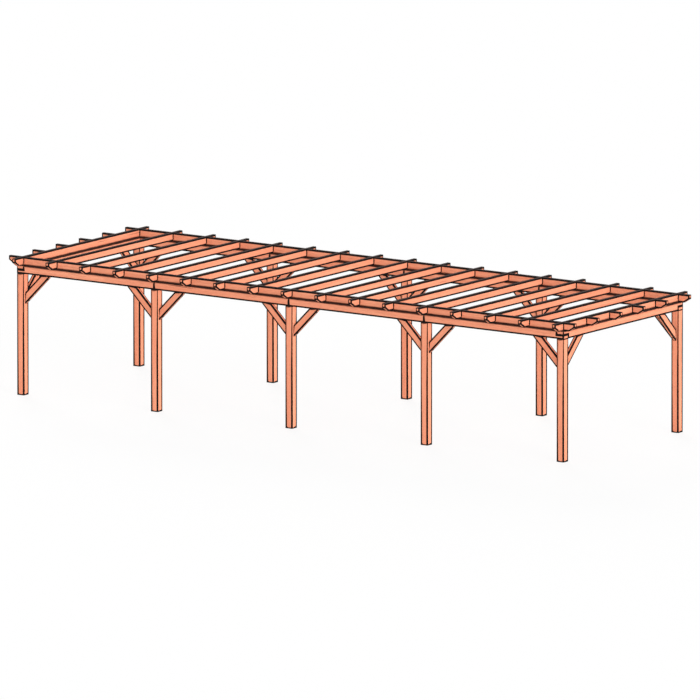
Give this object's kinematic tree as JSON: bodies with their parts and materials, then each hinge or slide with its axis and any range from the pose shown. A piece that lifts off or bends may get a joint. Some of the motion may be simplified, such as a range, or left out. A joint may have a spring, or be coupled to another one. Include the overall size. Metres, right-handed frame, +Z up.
{
  "type": "free-standing timber patio cover (pergola)",
  "caption": "Free-standing open redwood pergola with square posts, knee braces, half-lapped corner beams and a flat roof grid of rafters, blocking and cut tails on all four sides.",
  "frame": {"origin": "On the ground under the middle of the roof grid, at the bottom centre of the bounding box.", "axes": "+Z up, +X along the length to the right as seen from the front, +Y from the front row to the rear row."},
  "size_m": [11.494, 3.875, 2.345],
  "materials": {
    "redwood": "satin"
  },
  "bodies": {
    "root": {"front_post_1": "redwood", "front_post_2": "redwood", "front_post_3": "redwood", "front_post_4": "redwood", "front_post_5": "redwood", "rear_post_1": "redwood", "rear_post_2": "redwood", "rear_post_3": "redwood", "rear_post_4": "redwood", "rear_post_5": "redwood", "front_beam_1": "redwood", "front_beam_2": "redwood", "front_beam_3": "redwood", "front_beam_4": "redwood", "rear_beam_1": "redwood", "rear_beam_2": "redwood", "rear_beam_3": "redwood", "rear_beam_4": "redwood", "left_end_beam": "redwood", "right_end_beam": "redwood", "rafter_01": "redwood", "rafter_02": "redwood", "rafter_03": "redwood", "rafter_04": "redwood", "rafter_05": "redwood", "rafter_06": "redwood", "rafter_07": "redwood", "rafter_08": "redwood", "rafter_09": "redwood", "rafter_10": "redwood", "rafter_11": "redwood", "rafter_12": "redwood", "rafter_13": "redwood", "rafter_14": "redwood", "rafter_15": "redwood", "rafter_16": "redwood", "rafter_17": "redwood", "front_blocking": "redwood", "rear_blocking": "redwood", "left_tails": "redwood", "right_tails": "redwood", "front_braces": "redwood", "rear_braces": "redwood", "left_end_braces": "redwood", "right_end_braces": "redwood"}
  },
  "joints": []
}
